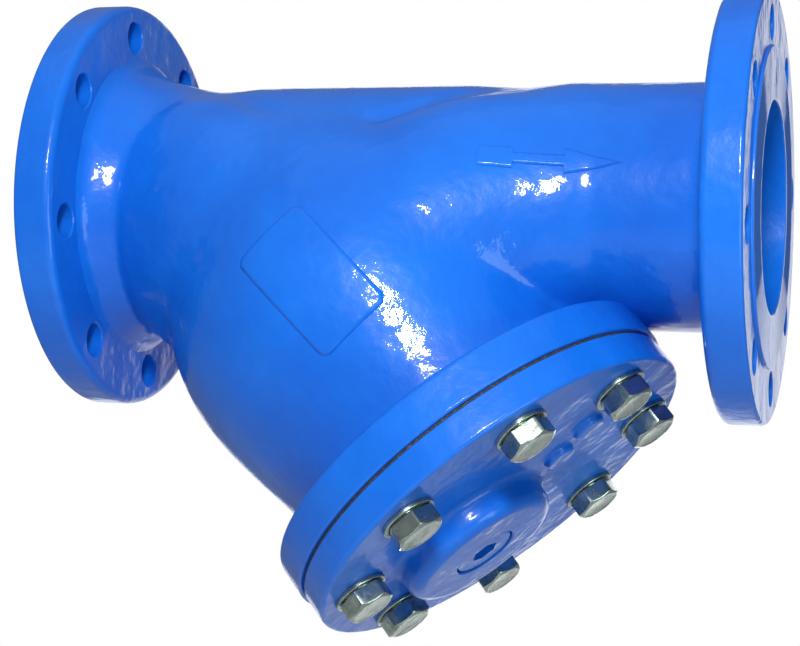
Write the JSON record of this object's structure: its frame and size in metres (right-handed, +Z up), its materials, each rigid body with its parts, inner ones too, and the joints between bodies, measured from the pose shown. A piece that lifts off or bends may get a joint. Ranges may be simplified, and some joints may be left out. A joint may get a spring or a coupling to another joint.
{
  "type": "y strainer",
  "caption": "Flanged Y-type strainer: a cast body with an inclined branch, a bolted cover with a drain plug, and a lift-out perforated screen.",
  "frame": {"origin": "centre of the inlet flange's bolt circle, on the front of the flange plate, 2 mm behind the raised sealing face", "axes": "+X along the pipe from inlet to outlet, +Z up, +Y a right-handed third; the branch leans down and downstream in the XZ plane"},
  "size_m": [0.48, 0.287, 0.4354],
  "materials": {
    "coated_casting": "glossy blue epoxy powder coat on ductile iron",
    "gasket_sheet": "dark fibre-reinforced sheet",
    "stainless_screen": "stainless perforated sheet",
    "zinc_plated_steel": "bright zinc plate"
  },
  "bodies": {
    "housing": {"body": "coated_casting"},
    "cover": {"cover": "coated_casting", "cover_gasket": "gasket_sheet"},
    "screen": {"screen_tube": "stainless_screen", "screen_top_ring": "stainless_screen", "screen_bottom_ring": "stainless_screen", "screen_end_plate": "stainless_screen"},
    "washer_1": {"bolt_washer_1": "zinc_plated_steel"},
    "bolt_1": {"cover_bolt_1": "zinc_plated_steel"},
    "washer_2": {"bolt_washer_2": "zinc_plated_steel"},
    "bolt_2": {"cover_bolt_2": "zinc_plated_steel"},
    "washer_3": {"bolt_washer_3": "zinc_plated_steel"},
    "bolt_3": {"cover_bolt_3": "zinc_plated_steel"},
    "washer_4": {"bolt_washer_4": "zinc_plated_steel"},
    "bolt_4": {"cover_bolt_4": "zinc_plated_steel"},
    "washer_5": {"bolt_washer_5": "zinc_plated_steel"},
    "bolt_5": {"cover_bolt_5": "zinc_plated_steel"},
    "washer_6": {"bolt_washer_6": "zinc_plated_steel"},
    "bolt_6": {"cover_bolt_6": "zinc_plated_steel"},
    "washer_7": {"bolt_washer_7": "zinc_plated_steel"},
    "bolt_7": {"cover_bolt_7": "zinc_plated_steel"},
    "washer_8": {"bolt_washer_8": "zinc_plated_steel"},
    "bolt_8": {"cover_bolt_8": "zinc_plated_steel"},
    "seal": {"drain_seal": "gasket_sheet"},
    "plug": {"drain_plug": "coated_casting"}
  },
  "joints": [
    {"name": "cover_slide", "type": "slide", "parent": "housing", "child": "cover", "axis": [0.6561, 0, -0.7547], "range_m": [0, 0.46]},
    {"name": "screen_slide", "type": "slide", "parent": "housing", "child": "screen", "axis": [0.6561, 0, -0.7547], "range_m": [0, 0.24]},
    {"name": "washer_slide_1", "type": "slide", "parent": "cover", "child": "washer_1", "axis": [0.6561, 0, -0.7547], "range_m": [0, 0.05]},
    {"name": "bolt_turn_1", "type": "hinge", "parent": "washer_1", "child": "bolt_1", "pos_m": [0.39176, -0.04324, -0.13279], "axis": [0.6561, 0, -0.7547], "range_deg": [0, 7205]},
    {"name": "washer_slide_2", "type": "slide", "parent": "cover", "child": "washer_2", "axis": [0.6561, 0, -0.7547], "range_m": [0, 0.05]},
    {"name": "bolt_turn_2", "type": "hinge", "parent": "washer_2", "child": "bolt_2", "pos_m": [0.34561, -0.1044, -0.17291], "axis": [0.6561, 0, -0.7547], "range_deg": [0, 7205]},
    {"name": "washer_slide_3", "type": "slide", "parent": "cover", "child": "washer_3", "axis": [0.6561, 0, -0.7547], "range_m": [0, 0.05]},
    {"name": "bolt_turn_3", "type": "hinge", "parent": "washer_3", "child": "bolt_3", "pos_m": [0.28034, -0.1044, -0.22965], "axis": [0.6561, 0, -0.7547], "range_deg": [0, 7205]},
    {"name": "washer_slide_4", "type": "slide", "parent": "cover", "child": "washer_4", "axis": [0.6561, 0, -0.7547], "range_m": [0, 0.05]},
    {"name": "bolt_turn_4", "type": "hinge", "parent": "washer_4", "child": "bolt_4", "pos_m": [0.23418, -0.04324, -0.26977], "axis": [0.6561, 0, -0.7547], "range_deg": [0, 7205]},
    {"name": "washer_slide_5", "type": "slide", "parent": "cover", "child": "washer_5", "axis": [0.6561, 0, -0.7547], "range_m": [0, 0.05]},
    {"name": "bolt_turn_5", "type": "hinge", "parent": "washer_5", "child": "bolt_5", "pos_m": [0.23418, 0.04324, -0.26977], "axis": [0.6561, 0, -0.7547], "range_deg": [0, 7205]},
    {"name": "washer_slide_6", "type": "slide", "parent": "cover", "child": "washer_6", "axis": [0.6561, 0, -0.7547], "range_m": [0, 0.05]},
    {"name": "bolt_turn_6", "type": "hinge", "parent": "washer_6", "child": "bolt_6", "pos_m": [0.28034, 0.1044, -0.22965], "axis": [0.6561, 0, -0.7547], "range_deg": [0, 7205]},
    {"name": "washer_slide_7", "type": "slide", "parent": "cover", "child": "washer_7", "axis": [0.6561, 0, -0.7547], "range_m": [0, 0.05]},
    {"name": "bolt_turn_7", "type": "hinge", "parent": "washer_7", "child": "bolt_7", "pos_m": [0.34561, 0.1044, -0.17291], "axis": [0.6561, 0, -0.7547], "range_deg": [0, 7205]},
    {"name": "washer_slide_8", "type": "slide", "parent": "cover", "child": "washer_8", "axis": [0.6561, 0, -0.7547], "range_m": [0, 0.05]},
    {"name": "bolt_turn_8", "type": "hinge", "parent": "washer_8", "child": "bolt_8", "pos_m": [0.39176, 0.04324, -0.13279], "axis": [0.6561, 0, -0.7547], "range_deg": [0, 7205]},
    {"name": "seal_slide", "type": "slide", "parent": "cover", "child": "seal", "axis": [0.6561, 0, -0.7547], "range_m": [0, 0.0207]},
    {"name": "plug_turn", "type": "hinge", "parent": "seal", "child": "plug", "pos_m": [0.29033, 0, -0.22096], "axis": [0.6561, 0, -0.7547], "range_deg": [0, 3240]}
  ],
  "couplings": [
    {"joint": "screen_slide", "follows": "cover_slide", "ratio": 0.52},
    {"joint": "bolt_turn_1", "follows": "washer_slide_1", "rad_per_m": 2513.3},
    {"joint": "bolt_turn_2", "follows": "washer_slide_2", "rad_per_m": 2513.3},
    {"joint": "bolt_turn_3", "follows": "washer_slide_3", "rad_per_m": 2513.3},
    {"joint": "bolt_turn_4", "follows": "washer_slide_4", "rad_per_m": 2513.3},
    {"joint": "bolt_turn_5", "follows": "washer_slide_5", "rad_per_m": 2513.3},
    {"joint": "bolt_turn_6", "follows": "washer_slide_6", "rad_per_m": 2513.3},
    {"joint": "bolt_turn_7", "follows": "washer_slide_7", "rad_per_m": 2513.3},
    {"joint": "bolt_turn_8", "follows": "washer_slide_8", "rad_per_m": 2513.3},
    {"joint": "plug_turn", "follows": "seal_slide", "rad_per_m": 2721.2}
  ]
}
